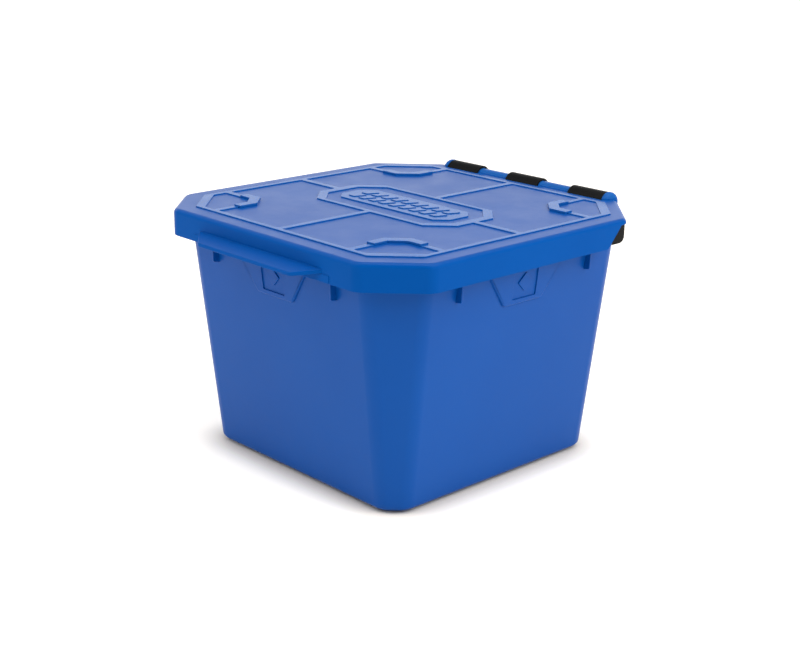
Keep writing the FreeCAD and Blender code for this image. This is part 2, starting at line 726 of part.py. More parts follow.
def hook_sketch(body, number):
    """A C-shaped section: two arcs about the hinge axis joined by straight ends."""
    sketch = body.newObject("Sketcher::SketchObject", f"hook_{number + 1}")
    attach(sketch, body, "YZ_Plane", f"{number} * dims.hook_pitch")
    centre = FreeCAD.Vector(value("dims.axis_back"), value("dims.axis_height"), 0)
    start, end = math.radians(value("dims.hook_from")), math.radians(value("dims.hook_to"))
    radii = ("dims.hook_radius", "dims.hook_bore")
    for radius in radii:
        circle = Part.Circle(centre, FreeCAD.Vector(0, 0, 1), value(radius))
        sketch.addGeometry(Part.ArcOfCircle(circle, start, end), False)
    points = {}
    for radius in radii:
        for name, angle in (("start", start), ("end", end)):
            points[radius, name] = centre + value(radius) * FreeCAD.Vector(
                math.cos(angle), math.sin(angle), 0)
    for name in ("start", "end"):
        line = Part.LineSegment(points[radii[0], name], points[radii[1], name])
        sketch.addGeometry(line, False)
    for line, end_number in ((2, 1), (3, 2)):
        sketch.addConstraint(Sketcher.Constraint("Coincident", line, 1, 0, end_number))
        sketch.addConstraint(Sketcher.Constraint("Coincident", line, 2, 1, end_number))
    bind_point(sketch, 0, 3, ("dims.axis_back", "dims.axis_height"), "centre")
    sketch.addConstraint(Sketcher.Constraint("Coincident", 1, 3, 0, 3))
    for geometry, radius in enumerate(radii):
        index = sketch.addConstraint(Sketcher.Constraint("Radius", geometry, value(radius)))
        sketch.renameConstraint(index, f"radius{geometry}")
        sketch.setExpression(f"Constraints.radius{geometry}", radius)
    for end_number, limit in ((1, "dims.hook_from"), (2, "dims.hook_to")):
        tag = f"end{end_number}"
        point = (f"dims.axis_back + dims.hook_radius * cos({limit} * 1deg)",
                 f"dims.axis_height + dims.hook_radius * sin({limit} * 1deg)")
        index = sketch.addConstraint(Sketcher.Constraint(
            "DistanceX", -1, 1, 0, end_number, value(point[0])))
        sketch.renameConstraint(index, tag)
        sketch.setExpression(f"Constraints.{tag}", point[0])
    for line in (2, 3):
        sketch.addConstraint(Sketcher.Constraint("PointOnObject", 0, 3, line))
    return sketch


def make_hooks(body):
    front = "(dims.axis_back + dims.stem_front)"
    back = "(dims.axis_back + dims.stem_back)"
    low, seat = "dims.bracket_top - 1", "(dims.axis_height - dims.hook_radius + 1.1)"
    for number in (-1, 0, 1):
        pad(body, hook_sketch(body, number), "2 * dims.hook_half", symmetric=True)
        stem = polygons(body, f"hook_stem_{number + 1}", "YZ_Plane",
                        f"{number} * dims.hook_pitch",
                        [(front, low), (back, low), (back, f"{seat} + 2.4"),
                         ("dims.axis_back + 2", seat), (front, seat)])
        pad(body, stem, "2 * dims.hook_half", symmetric=True)


def make_towers(body):
    """Hollow towers that take the screws from the rear face to the tub's bosses."""
    places = screw_places("dims.screw_height")
    back = "-(dims.bracket_back - dims.bracket_wall / 2)"
    tower = circles(body, "tower", "XZ_Plane", back, "dims.tower_radius", places)
    pad(body, tower, "dims.bracket_back - dims.bracket_wall / 2 - dims.boss_face")
    bore = circles(body, "counterbore", "XZ_Plane", "-(dims.bracket_back + 1)",
                   "dims.counterbore_radius", places)
    pocket(body, bore, "dims.bracket_back + 1 - dims.screw_seat", reverse=True)
    hole = circles(body, "screw_hole", "XZ_Plane", "-(dims.bracket_back + 1)",
                   "dims.clearance_radius", places)
    pocket(body, hole, "dims.bracket_back + 2 - dims.boss_face", reverse=True)


def make_bracket():
    body = new_body("hinge_bracket")
    make_bracket_body(body)
    make_bracket_ribs(body)
    make_towers(body)
    make_hooks(body)
    return body


# Screws: pan heads with a cross slot, all alike

def primitive(kind, name, sizes, place, turned=True):
    part = doc.addObject(kind, name)
    for size, expression in sizes.items():
        part.setExpression(size, expression)
    if turned:
        part.Placement = FreeCAD.Placement(
            FreeCAD.Vector(), FreeCAD.Rotation(FreeCAD.Vector(1, 0, 0), 90))
    for axis, expression in zip("xyz", place):
        part.setExpression(f"Placement.Base.{axis}", expression)
    return part


def make_screw(number, place):
    height, seat = "dims.screw_height", "dims.screw_seat"
    head = primitive("Part::Cylinder", f"head_{number}",
                     {"Radius": "dims.screw_head_radius", "Height": "dims.screw_head_height"},
                     (place, f"{seat} + dims.screw_head_height", height))
    shank = primitive("Part::Cylinder", f"shank_{number}",
                      {"Radius": "dims.screw_shank_radius",
                       "Height": "dims.screw_shank_length + 1"},
                      (place, f"{seat} + 1", height))
    blank = doc.addObject("Part::Fuse", f"blank_{number}")
    blank.Base, blank.Tool = head, shank
    slots = []
    for name, wide, tall in (("flat", "3.2", "1"), ("upright", "1", "3.2")):
        width = f"dims.screw_slot_width * {wide}"
        depth = f"dims.screw_slot_width * {tall}"
        slots.append(primitive(
            "Part::Box", f"slot_{name}_{number}",
            {"Length": width, "Height": depth, "Width": "dims.screw_slot_depth + 1"},
            (f"{place} - {width} / 2",
             f"{seat} + dims.screw_head_height - dims.screw_slot_depth",
             f"{height} - {depth} / 2"), turned=False))
    cross = doc.addObject("Part::Fuse", f"cross_{number}")
    cross.Base, cross.Tool = slots
    screw = doc.addObject("Part::Cut", f"screw_{number}")
    screw.Base, screw.Tool = blank, cross
    return screw


def make_screws():
    screws = [make_screw(i, place) for i, (place, _) in enumerate(screw_places("0"), start=1)]
    group = doc.addObject("Part::Compound", "hinge_screws")
    group.Label = "hinge_screws"
    group.Links = screws
    doc.recompute()
    return group


nodes = [make_tub(), make_lid(), make_bracket(), make_screws()]
doc.recompute()

for item in doc.Objects:
    if "Invalid" in item.State or "Error" in item.State:
        raise RuntimeError(f"{item.Name} failed: {item.State}")
for node in nodes:
    if node.Shape.isNull() or not node.Shape.isValid():
        raise RuntimeError(node.Label + " has no valid shape")

os.makedirs("parts", exist_ok=True)
for node in nodes:
    node.Shape.exportStep(f"parts/{node.Label}.step")
    print(f"{node.Label}: {len(node.Shape.Solids)} solid(s), {node.Shape.Volume / 1000:.1f} cm3")
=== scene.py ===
"""The looks of a square lidded tub: moulded shells, hinge bracket, plastics, light and camera."""

import math

import bmesh
import bpy
from mathutils import Matrix, Vector
from mathutils.geometry import tessellate_polygon


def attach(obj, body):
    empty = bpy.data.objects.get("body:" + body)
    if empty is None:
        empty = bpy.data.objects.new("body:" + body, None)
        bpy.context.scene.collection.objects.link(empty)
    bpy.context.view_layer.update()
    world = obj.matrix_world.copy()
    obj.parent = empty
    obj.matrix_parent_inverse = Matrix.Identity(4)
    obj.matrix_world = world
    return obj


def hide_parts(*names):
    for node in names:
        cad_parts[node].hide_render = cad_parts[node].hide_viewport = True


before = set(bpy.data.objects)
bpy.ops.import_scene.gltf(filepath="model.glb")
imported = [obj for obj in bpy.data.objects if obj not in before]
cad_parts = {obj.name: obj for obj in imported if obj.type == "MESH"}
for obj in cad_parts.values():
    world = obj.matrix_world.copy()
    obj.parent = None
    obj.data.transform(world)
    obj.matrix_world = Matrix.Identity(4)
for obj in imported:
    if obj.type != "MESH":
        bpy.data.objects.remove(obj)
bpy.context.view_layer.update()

MM = 0.001

# ---------------------------------------------------------------- sizes, in millimetres

# tub
BASE_HALF, BASE_CUT = 134.0, 17.0
RIM_HALF, RIM_CUT = 161.8, 40.0
FOOT, RIM = 1.8, 237.7
WALL = 3.0
UPRIGHT_ROUND, BASE_ROUND = 20.0, 6.0
FLANGE_HALF, FLANGE_CUT, FLANGE_THICK = 170.0, 50.5, 3.0
CURTAIN_BOTTOM, CURTAIN_WALL, CURTAIN_END = 225.2, 2.2, 84.0
SLOPE = (RIM_HALF - BASE_HALF) / (RIM - FOOT)
DRAFT = math.atan(SLOPE)

# marks on the tub's walls; heights are above the floor, raises are out of the wall
SHIELD_LOW, SHIELD_HIGH, SHIELD_RAISE = 179.0, 224.9, 2.3
SHIELD_LOW_HALF, SHIELD_HIGH_HALF = 24.5, 58.3
PANEL_LOW, PANEL_HALF, PANEL_RAISE = 184.0, 15.5, 1.1
MARK_MIDDLE, MARK_HALF, MARK_RAISE = 199.0, 9.0, 2.2
GUSSET_PLACE, GUSSET_LOW, GUSSET_REACH, GUSSET_HALF = 84.0, 195.0, 6.5, 1.1

# lid
LID_HALF, LID_TOP, PLATE = 175.0, 240.5, 2.5
REAR_CUT, FRONT_CUT, REAR_ROUND, FRONT_ROUND, EDGE_ROUND = 55.0, 45.5, 12.0, 16.0, 4.6
SKIRT_BOTTOM, SKIRT_WALL, REAR_BOTTOM = 215.0, 2.5, 235.0
ARC_STEPS = 8                     # faces round a corner of the lid
SLANT_LOW, SLANT_HIGH = 95.0, 112.8
RIB = 1.05
PLUG_HALF, PLUG_CUT, PLUG_WALL, PLUG_DEPTH = 155.5, 39.0, 2.0, 8.0
# raised frame, badge and plaque on the lid, each as octagon() takes it
FRAME, BADGE, PLAQUE = (155.0, 34.3), (86.6, 20.5, 40.3), (75.3, 11.6, 23.5)
LOCATOR_RAISE, HATCH_RAISE = 2.45, 1.9
HATCH_COUNT, HATCH_PITCH, HATCH_HALF, HATCH_LEAN = 9, 14.0, 4.2, 2.6
HATCH_NEAR, HATCH_FAR = 2.2, 14.6
LIP_ROOT_HALF, LIP_TIP_HALF, LIP_REACH, LIP_HALF_THICK = 88.5, 66.0, 18.0, 2.15
LIP_ROOT_Z, LIP_TIP_Z, LIP_TAPER = 224.55, 220.6, 0.16

# hinge
AXIS_Y, AXIS_Z = 175.5, 236.0
ROD, BORE, HOOK, LUG = 8.0, 8.1, 10.5, 10.8
HOOK_HALF, HOOK_PITCH, HOOK_GAP = 21.75, 84.5, 0.6
LUG_START, LUG_END = HOOK_PITCH + HOOK_HALF + HOOK_GAP, 113.5
BAY_Y = AXIS_Y - HOOK - 0.7
WEB_TOP = 241.3

# hinge bracket and its screws
BRACKET_LOW, BRACKET_HIGH, BRACKET_BACK = 194.5, 218.0, 193.0
BRACKET_HALF, BRACKET_GAP = 117.25, 0.15
SCREW_PLACES, SCREW_Z = (-100.0, -42.25, 42.25, 100.0), 207.0
SCREW_HOLE, SCREW_HEAD_SEAT = 4.4, 172.0
BOSS, BOSS_START, BOSS_END = 4.6, 157.5, 166.0


# ---------------------------------------------------------------- plane outlines

def vec(x, y):
    return Vector((x, y))


def rounded(points, radius, steps=4):
    """A closed outline with each corner replaced by an arc."""
    out = []
    for i, corner in enumerate(points):
        r = radius[i] if isinstance(radius, (list, tuple)) else radius
        to_last = points[i - 1] - corner
        to_next = points[(i + 1) % len(points)] - corner
        u, v = to_last.normalized(), to_next.normalized()
        half = u.angle(v) / 2
        if r <= 0 or half > math.pi / 2 - 0.01:
            out.append(corner.copy())
            continue
        run = min(r / math.tan(half), 0.48 * to_last.length, 0.48 * to_next.length)
        r = run * math.tan(half)
        centre = corner + (u + v).normalized() * (r / math.sin(half))
        start, end = corner + u * run - centre, corner + v * run - centre
        turn = start.angle_signed(end)
        for k in range(steps + 1):
            a = -turn * k / steps
            out.append(centre + vec(start.x * math.cos(a) - start.y * math.sin(a),
                                    start.x * math.sin(a) + start.y * math.cos(a)))
    return out


def offset(points, distance):
    """Moves a counter-clockwise outline outward, keeping its corners."""
    out = []
    for i, p in enumerate(points):
        before = (p - points[i - 1]).normalized()
        after = (points[(i + 1) % len(points)] - p).normalized()
        n1, n2 = vec(before.y, -before.x), vec(after.y, -after.x)
        out.append(p + (n1 + n2) * (distance / (1 + n1.dot(n2))))
    return out


def octagon(half, cut, half_y=None):
    """Counter-clockwise from the right side's front corner."""
    wide = half if half_y is None else half_y
    nx, ny = half - cut, wide - cut
    return [vec(half, -ny), vec(half, ny), vec(nx, wide), vec(-nx, wide),
            vec(-half, ny), vec(-half, -ny), vec(-nx, -wide), vec(nx, -wide)]


def rectangle(x0, y0, x1, y1):
    return [vec(x0, y0), vec(x1, y0), vec(x1, y1), vec(x0, y1)]


def turned(points, quarter):
    c, s = round(math.cos(quarter * math.pi / 2)), round(math.sin(quarter * math.pi / 2))
    return [vec(c * p.x - s * p.y, s * p.x + c * p.y) for p in points]


def circle(radius, x, y, count=48):
    return [vec(x + radius * math.cos(2 * math.pi * k / count),
                y + radius * math.sin(2 * math.pi * k / count)) for k in range(count)]


# ---------------------------------------------------------------- meshes

# an outline's own x, y and height laid along the tub's axes
ALONG_X = Matrix(((0, 0, 1, 0), (1, 0, 0, 0), (0, 1, 0, 0), (0, 0, 0, 1)))
ALONG_Y = Matrix(((1, 0, 0, 0), (0, 0, 1, 0), (0, 1, 0, 0), (0, 0, 0, 1)))


class Shell:
    """Collects rings of points and the faces between them, in millimetres."""

    def __init__(self):
        self.points, self.faces = [], []

    def ring(self, outline, height):
        """One ring; height is a number, or one for each point."""
        first = len(self.points)
        heights = height if isinstance(height, list) else [height] * len(outline)
        self.points += [Vector((p.x, p.y, z)) for p, z in zip(outline, heights)]
        return list(range(first, len(self.points)))

    def bridge(self, low, high):
        n = len(low)
        for i in range(n):
            j = (i + 1) % n
            self.faces.append((low[i], low[j], high[j], high[i]))

    def stack(self, rings):
        for low, high in zip(rings, rings[1:]):
            self.bridge(low, high)

    def cap(self, outer, holes=(), up=True):
        loops = [outer, *holes]
        flat = [i for loop in loops for i in loop]
        polygons = [[Vector((self.points[i].x, self.points[i].y, 0)) for i in loop]
                    for loop in loops]
        for a, b, c in tessellate_polygon(polygons):
            pa, pb, pc = (self.points[flat[k]] for k in (a, b, c))
            area = (pb.x - pa.x) * (pc.y - pa.y) - (pb.y - pa.y) * (pc.x - pa.x)
            if abs(area) < 1e-7:
                continue
            order = (a, b, c) if (area > 0) == up else (c, b, a)
            self.faces.append(tuple(flat[k] for k in order))

    def add(self, other, place=None):
        first = len(self.points)
        self.points += [place @ p if place else p for p in other.points]
        flip = place is not None and place.determinant() < 0
        for face in other.faces:
            face = tuple(first + i for i in face)
            self.faces.append(face[::-1] if flip else face)
        return self


def prism(outline, low, high, low_round=0.0, high_round=0.0, steps=3, flare=0.0):
    """A solid between two heights with rounded rims; flare spreads its foot like a fillet."""
    shell, rings = Shell(), []
    if flare:
        for k in range(steps + 1):
            a = math.pi / 2 * k / steps
            rings.append(shell.ring(offset(outline, flare * (1 - math.sin(a))),
                                    low + flare * (1 - math.cos(a))))
    elif low_round:
        for k in range(steps + 1):
            a = math.pi / 2 * k / steps
            rings.append(shell.ring(offset(outline, -low_round * (1 - math.sin(a))),
                                    low + low_round * (1 - math.cos(a))))
    else:
        rings.append(shell.ring(outline, low))
    if high_round:
        for k in range(steps + 1):
            a = math.pi / 2 * k / steps
            rings.append(shell.ring(offset(outline, -high_round * (1 - math.cos(a))),
                                    high - high_round * (1 - math.sin(a))))
    else:
        rings.append(shell.ring(outline, high))
    shell.stack(rings)
    shell.cap(rings[0], up=False)
    shell.cap(rings[-1], up=True)
    return shell


def finish_mesh(name, shell, body, material, nodes=()):
    mesh = bpy.data.meshes.new(name)
    mesh.from_pydata([p * MM for p in shell.points], [], shell.faces)
    bm = bmesh.new()
    bm.from_mesh(mesh)
    bmesh.ops.remove_doubles(bm, verts=bm.verts, dist=1e-6)
    bmesh.ops.dissolve_degenerate(bm, edges=bm.edges, dist=1e-6)
    bmesh.ops.recalc_face_normals(bm, faces=bm.faces)
    for face in bm.faces:
        face.smooth = True
    for edge in bm.edges:
        if len(edge.link_faces) == 2 and edge.calc_face_angle() > math.radians(40):
            edge.smooth = False
    bm.to_mesh(mesh)
    bm.free()
    obj = bpy.data.objects.new(name, mesh)
    bpy.context.scene.collection.objects.link(obj)
    weighted = obj.modifiers.new("even_shading", "WEIGHTED_NORMAL")
    weighted.keep_sharp = True
    weighted.weight = 100
    mesh.materials.append(material)
    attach(obj, body)
    if nodes:
        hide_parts(*nodes)
    return obj


# ---------------------------------------------------------------- materials

class Nodes:
    """A small helper to wire a material."""

    def __init__(self, name):
        self.material = bpy.data.materials.new(name)
        self.material.use_nodes = True
        self.tree = self.material.node_tree
        self.shader = self.tree.nodes["Principled BSDF"]
        coordinates = self.tree.nodes.new("ShaderNodeTexCoord")
        self.place = coordinates.outputs["Object"]
        self.facing = coordinates.outputs["Normal"]

    def add(self, kind, inputs=None, **settings):
        node = self.tree.nodes.new(kind)
        for key, setting in settings.items():
            setattr(node, key, setting)
        for key, source in (inputs or {}).items():
            if isinstance(source, bpy.types.NodeSocket):
                self.tree.links.new(source, node.inputs[key])
            else:
                node.inputs[key].default_value = source
        return node

    def noise(self, scale, detail=3.0, roughness=0.55):
        return self.add("ShaderNodeTexNoise", {"Vector": self.place, "Scale": scale,
                                               "Detail": detail, "Roughness": roughness}
                        ).outputs["Fac"]

    def ramp(self, source, low, high, to_low, to_high):
        return self.add("ShaderNodeMapRange", {"Value": source, "From Min": low,
                                               "From Max": high, "To Min": to_low,
                                               "To Max": to_high}).outputs["Result"]

    def mix(self, factor, a, b):
        node = self.add("ShaderNodeMix", data_type="RGBA")
        self.tree.links.new(factor, node.inputs["Factor"])
        for socket, source in (("A", a), ("B", b)):
            target = next(s for s in node.inputs if s.name == socket and s.type == "RGBA")
            if isinstance(source, bpy.types.NodeSocket):
                self.tree.links.new(source, target)
            else:
                target.default_value = (*source, 1)
        return next(s for s in node.outputs if s.type == "RGBA")

    def bump(self, height, strength, distance, normal=None):
        inputs = {"Height": height, "Strength": strength, "Distance": distance}
        if normal is not None:
            inputs["Normal"] = normal
        return self.add("ShaderNodeBump", inputs).outputs["Normal"]

    def link(self, source, socket):
        self.tree.links.new(source, self.shader.inputs[socket])


def moulded_plastic(name, colour, tint, rough, grain, gloss, sheen_on_tops=None):
    """Self-coloured plastic: slight flow marks, a fine spark-eroded grain, and where asked a
    painted sheen on raised tops.

    The optional last argument is a lighter colour, a painted sheen, and the heights in metres
    over which it and a smoother face take over;
    a plastic that has it is also less glossy on its upright faces than on its level ones.
    """
    nodes = Nodes(name)
    flow = nodes.noise(6.0, 4.0)
    cloud = nodes.noise(28.0, 5.0, 0.6)
    shade = nodes.mix(nodes.ramp(flow, 0.35, 0.65, 0.0, 1.0), colour, tint)
    roughness = nodes.ramp(cloud, 0.3, 0.7, rough - 0.03, rough + 0.04)
    if sheen_on_tops:
        paler, low, high = sheen_on_tops
        height = nodes.add("ShaderNodeSeparateXYZ", {"Vector": nodes.place}).outputs["Z"]
        sheen_mask = nodes.ramp(height, low, high, 0.0, 1.0)
        upward = nodes.add("ShaderNodeSeparateXYZ", {"Vector": nodes.facing}).outputs["Z"]
        nodes.link(nodes.ramp(upward, 0.50, 0.97, gloss * 0.12, gloss), "Specular IOR Level")
        # painted sheen: above the given height the colour turns lighter; the lower roughness
        # there is the smoother face itself
        shade = nodes.mix(sheen_mask, shade, paler)
        roughness = nodes.add("ShaderNodeMath", {0: sheen_mask, 1: -0.10, 2: roughness},
                              operation="MULTIPLY_ADD").outputs["Value"]
    nodes.link(shade, "Base Color")
    nodes.link(roughness, "Roughness")
    fine = nodes.noise(1600.0, 2.0, 0.5)
    wavy = nodes.noise(18.0, 2.0, 0.5)
    normal = nodes.bump(wavy, 0.03, 0.002)
    nodes.link(nodes.bump(fine, grain, 0.0001, normal), "Normal")
    nodes.shader.inputs["Specular IOR Level"].default_value = gloss
    return nodes.material


BLUE = moulded_plastic("blue_polypropylene", (0.0005, 0.065, 0.312), (0.0008, 0.070, 0.328),
                       0.34, 0.20, 0.11)
# the lid's raised tops, from 0.2410 m up, get a painted sheen: a lighter, lavender blue
LID_BLUE = moulded_plastic("blue_polypropylene_lid", (0.0005, 0.069, 0.312),
                           (0.0008, 0.074, 0.328), 0.34, 0.20, 0.17,
                           ((0.010, 0.100, 0.365), 0.2410, 0.2415))
BLACK = moulded_plastic("black_nylon", (0.006, 0.006, 0.0065), (0.009, 0.009, 0.0095), 0.44,
                        0.35, 0.06)


def zinc():
    nodes = Nodes("zinc_plate")
    patch = nodes.noise(400.0, 4.0, 0.6)
    nodes.link(nodes.mix(patch, (0.50, 0.50, 0.50), (0.66, 0.65, 0.62)), "Base Color")
    nodes.link(nodes.ramp(patch, 0.3, 0.7, 0.28, 0.45), "Roughness")
    nodes.shader.inputs["Metallic"].default_value = 1.0
    return nodes.material


# ---------------------------------------------------------------- tub

def tub_outline(half, cut, radius):
    """The octagon with doubled points where the flange and the curtain stop."""
    points = rounded(octagon(half, cut), radius, 6)
    # order: 8 arcs of 7 points, starting at the right side's front corner
    arcs = [points[i * 7:(i + 1) * 7] for i in range(8)]
    end = vec(half, CURTAIN_END)
    left_end = vec(-half, CURTAIN_END)
    return [*arcs[0], end, end.copy(), *arcs[1], *arcs[2], arcs[2][-1].copy(),
            arcs[3][0].copy(), *arcs[3], *arcs[4], left_end, left_end.copy(), *arcs[5],
            *arcs[6], *arcs[7]]


def tub_zones():
    """For each point of tub_outline: has it a flange, and has it a curtain."""
    flange, curtain = [], []
    for count, has_flange, has_curtain in ((8, 1, 1), (1, 1, 0), (7, 1, 0), (7, 1, 0),
                                           (1, 0, 0), (1, 0, 0), (7, 1, 0), (7, 1, 0),
                                           (1, 1, 0), (1, 1, 1), (7, 1, 1), (7, 1, 1),
                                           (7, 1, 1)):
        flange += [has_flange] * count
        curtain += [has_curtain] * count
    return flange, curtain


def wall_line(height, inset=0.0):
    """The wall's outline at a height, moved inward by inset."""
    rise = height - FOOT
    half = BASE_HALF + SLOPE * rise - inset
    cut = BASE_CUT + (RIM_CUT - BASE_CUT) / (RIM - FOOT) * rise
    cut -= inset * (2 - math.sqrt(2))
    return half, cut


def tub_ring(shell, height, inset=0.0):
    half, cut = wall_line(height, inset)
    return shell.ring(tub_outline(half, cut, max(UPRIGHT_ROUND - inset, 3.0)), height)


def make_tub_shell():
    shell, rings = Shell(), []
    steps = 6
    for k in range(steps + 1):
        a = math.radians(90 - math.degrees(DRAFT)) * k / steps
        inset = BASE_ROUND * (1 - math.sin(a))
        rings.append(tub_ring(shell, FOOT + BASE_ROUND * (1 - math.cos(a)),
                              inset - BASE_ROUND * (1 - math.cos(DRAFT)) * k / steps))
    outside_base = rings[0]
    for height in (40.0, 80.0, 120.0, 160.0, 200.0):
        rings.append(tub_ring(shell, height))
    flange, curtain = tub_zones()
    under = RIM - FLANGE_THICK
    rings.append(tub_ring(shell, under))

    def blend(flat_half, flat_cut, inset_on_wall, heights):
        """A ring that follows the flange where there is one, and the wall elsewhere."""
        wide = tub_outline(flat_half, flat_cut, UPRIGHT_ROUND)
        narrow = tub_outline(*wall_line(RIM - 0.4, inset_on_wall), UPRIGHT_ROUND)
        return shell.ring([w if f else n for w, n, f in zip(wide, narrow, flange)], heights)

    inner_half = FLANGE_HALF - CURTAIN_WALL
    inner_cut = FLANGE_CUT - CURTAIN_WALL * (2 - math.sqrt(2))
    drop = [CURTAIN_BOTTOM if c else under for c in curtain]
    soft = 0.6
    rings.append(blend(inner_half, inner_cut, 0, under))
    rings.append(blend(inner_half, inner_cut, 0, [z + soft if c else z
                                                  for z, c in zip(drop, curtain)]))
    rings.append(blend(inner_half + soft, inner_cut, 0, drop))
    rings.append(blend(FLANGE_HALF - soft, FLANGE_CUT, 0, drop))
    rings.append(blend(FLANGE_HALF, FLANGE_CUT, 0, [z + soft for z in drop]))
    rings.append(blend(FLANGE_HALF, FLANGE_CUT, 0, RIM - soft))
    rings.append(blend(FLANGE_HALF - 0.2, FLANGE_CUT, 0.2, RIM - 0.2))
    rings.append(blend(FLANGE_HALF - soft, FLANGE_CUT - 0.2, soft, RIM))
    thick = WALL / math.cos(DRAFT)
    rings.append(tub_ring(shell, RIM, thick - soft))
    rings.append(tub_ring(shell, RIM - 0.2, thick - 0.2))
    rings.append(tub_ring(shell, RIM - soft, thick))
    for height in (200.0, 160.0, 120.0, 80.0, 40.0):
        rings.append(tub_ring(shell, height, thick))
    inner_round = BASE_ROUND - WALL
    for k in range(steps, -1, -1):
        a = math.pi / 2 * k / steps
        rings.append(tub_ring(shell, FOOT + WALL + inner_round * (1 - math.cos(a)),
                              thick + inner_round * (1 - math.sin(a))))
    shell.stack(rings)
    shell.cap(rings[-1], up=True)
    shell.cap(outside_base, up=False)
    return shell


def wall_frame():
    """From (u, up the slope, out of the wall) on the right wall to the tub's own frame."""
    foot = BASE_HALF - SLOPE * FOOT
    up = Vector((math.sin(DRAFT), 0, math.cos(DRAFT)))
    out = Vector((math.cos(DRAFT), 0, -math.sin(DRAFT)))
    return Matrix(((0, up.x, out.x, foot), (1, up.y, out.y, 0), (0, up.z, out.z, 0),
                   (0, 0, 0, 1)))


def make_shield():
    """A raised plate with a sunk panel and a plain lozenge, in the wall's own frame."""
    slope = math.cos(DRAFT)
    low, high, sill = SHIELD_LOW / slope, SHIELD_HIGH / slope, PANEL_LOW / slope
    soft, steps = 1.9, 6
    outline = rounded([vec(-SHIELD_LOW_HALF, low), vec(SHIELD_LOW_HALF, low),
                       vec(SHIELD_HIGH_HALF, high + soft), vec(-SHIELD_HIGH_HALF, high + soft)],
                      [6, 6, 0.5, 0.5], 6)
    panel = rounded(rectangle(-PANEL_HALF, sill, PANEL_HALF, high - 1), [1.5, 1.5, 0.5, 0.5], 3)
    shell = Shell()
    rings = [shell.ring(outline, -0.5)]
    for k in range(steps + 1):
        a = math.pi / 2 * k / steps
        rings.append(shell.ring(offset(outline, -soft * (1 - math.cos(a))),
                                SHIELD_RAISE - soft * (1 - math.sin(a))))
    shell.stack(rings)
    shell.cap(rings[0], up=False)
    sunk, edge = step_rings(shell, panel, PANEL_RAISE, SHIELD_RAISE, False, 0.2)
    shell.cap(rings[-1], [edge], up=True)
    shell.cap(sunk, up=True)
    middle, half = MARK_MIDDLE / slope, MARK_HALF
    lozenge = rounded([vec(0, middle - half), vec(half, middle), vec(0, middle + half),
                       vec(-half, middle)], 1.2, 3)
    shell.add(prism(lozenge, PANEL_RAISE - 0.05, MARK_RAISE, 0, 0.3, 2))
    return shell


def make_wall_marks():
    """Shield and gussets of the right wall; they repeat on the front and left walls."""
    marks = Shell()
    marks.add(make_shield(), wall_frame())
    start, low, high = BASE_HALF + SLOPE * (GUSSET_LOW - FOOT), GUSSET_LOW, CURTAIN_BOTTOM + 1
    profile = [vec(start - 1, low), vec(start + 1, low), vec(start + GUSSET_REACH, low + 1),
               vec(start + GUSSET_REACH + 1.5, high), vec(start + 2, high)]
    for place in (-GUSSET_PLACE, GUSSET_PLACE):
        gusset = prism(rounded(profile, [0.3, 0.3, 1.2, 0.3, 0.3], 4),
                       place - GUSSET_HALF, place + GUSSET_HALF, 0.5, 0.5, 3)
        marks.add(gusset, ALONG_Y)
    return marks


def make_tub():
    tub = make_tub_shell()
    marks = make_wall_marks()
    for quarter in (0, -1, 2):
        tub.add(marks, Matrix.Rotation(quarter * math.pi / 2, 4, "Z"))
    foot = [vec(111, 100.5), vec(122, 100.5), vec(122, 107), vec(107, 122), vec(100.5, 122),
            vec(100.5, 111)]
    for quarter in range(4):
        tub.add(prism(rounded(turned(foot, quarter), 2.0), 0.0, FOOT + 1.0, 0.3, 0, 3))
    for x in SCREW_PLACES:
        tub.add(prism(circle(BOSS, x, SCREW_Z, 32), BOSS_START, BOSS_END, 0, 0.4), ALONG_Y)
    return finish_mesh("tub_moulding", tub, "tub_body", BLUE, ["tub"])


# ---------------------------------------------------------------- lid

def lid_outline(inset):
    """The lid's plan with its hinge bay, inset all round; ends of the slants included."""
    half, shrink = LID_HALF - inset, inset * (2 - math.sqrt(2))
    bay = BAY_Y - min(inset, 0.8)
    side = 109.4 + min(inset, 0.8)
    rear_corners = octagon(half, REAR_CUT - shrink)
    front_corners = octagon(half, FRONT_CUT - shrink)
    corners = [front_corners[0], *rear_corners[1:5], *front_corners[5:]]
    rear, front = REAR_ROUND - inset, FRONT_ROUND - inset
    points = [corners[0], corners[1], corners[2], vec(side, half), vec(side, bay),
              vec(-side, bay), vec(-side, half), corners[3], corners[4], corners[5],
              corners[6], corners[7]]
    radii = [front, rear, rear * 0.8, 0, 0, 0, 0, rear * 0.8, rear, front, front, front]
    out = rounded(points, radii, ARC_STEPS)
    arc = ARC_STEPS + 1
    right = [vec(half, SLANT_LOW), vec(half, SLANT_HIGH)]
    left = [vec(-half, SLANT_HIGH), vec(-half, SLANT_LOW)]
    head, tail = out[:arc], out[arc:]
    left_at = len(tail) - 3 * arc
    return head + right + tail[:left_at] + left + tail[left_at:]


def lid_kinds():
    """For each point of lid_outline: the height of its lower edge."""
    arc = ARC_STEPS + 1
    bay = LID_TOP - PLATE
    full = [SKIRT_BOTTOM] * arc
    rear = [REAR_BOTTOM] * arc
    return (full + [SKIRT_BOTTOM, REAR_BOTTOM] + rear + rear + [REAR_BOTTOM, bay, bay,
            REAR_BOTTOM] + rear + rear + [REAR_BOTTOM, SKIRT_BOTTOM] + full * 3)


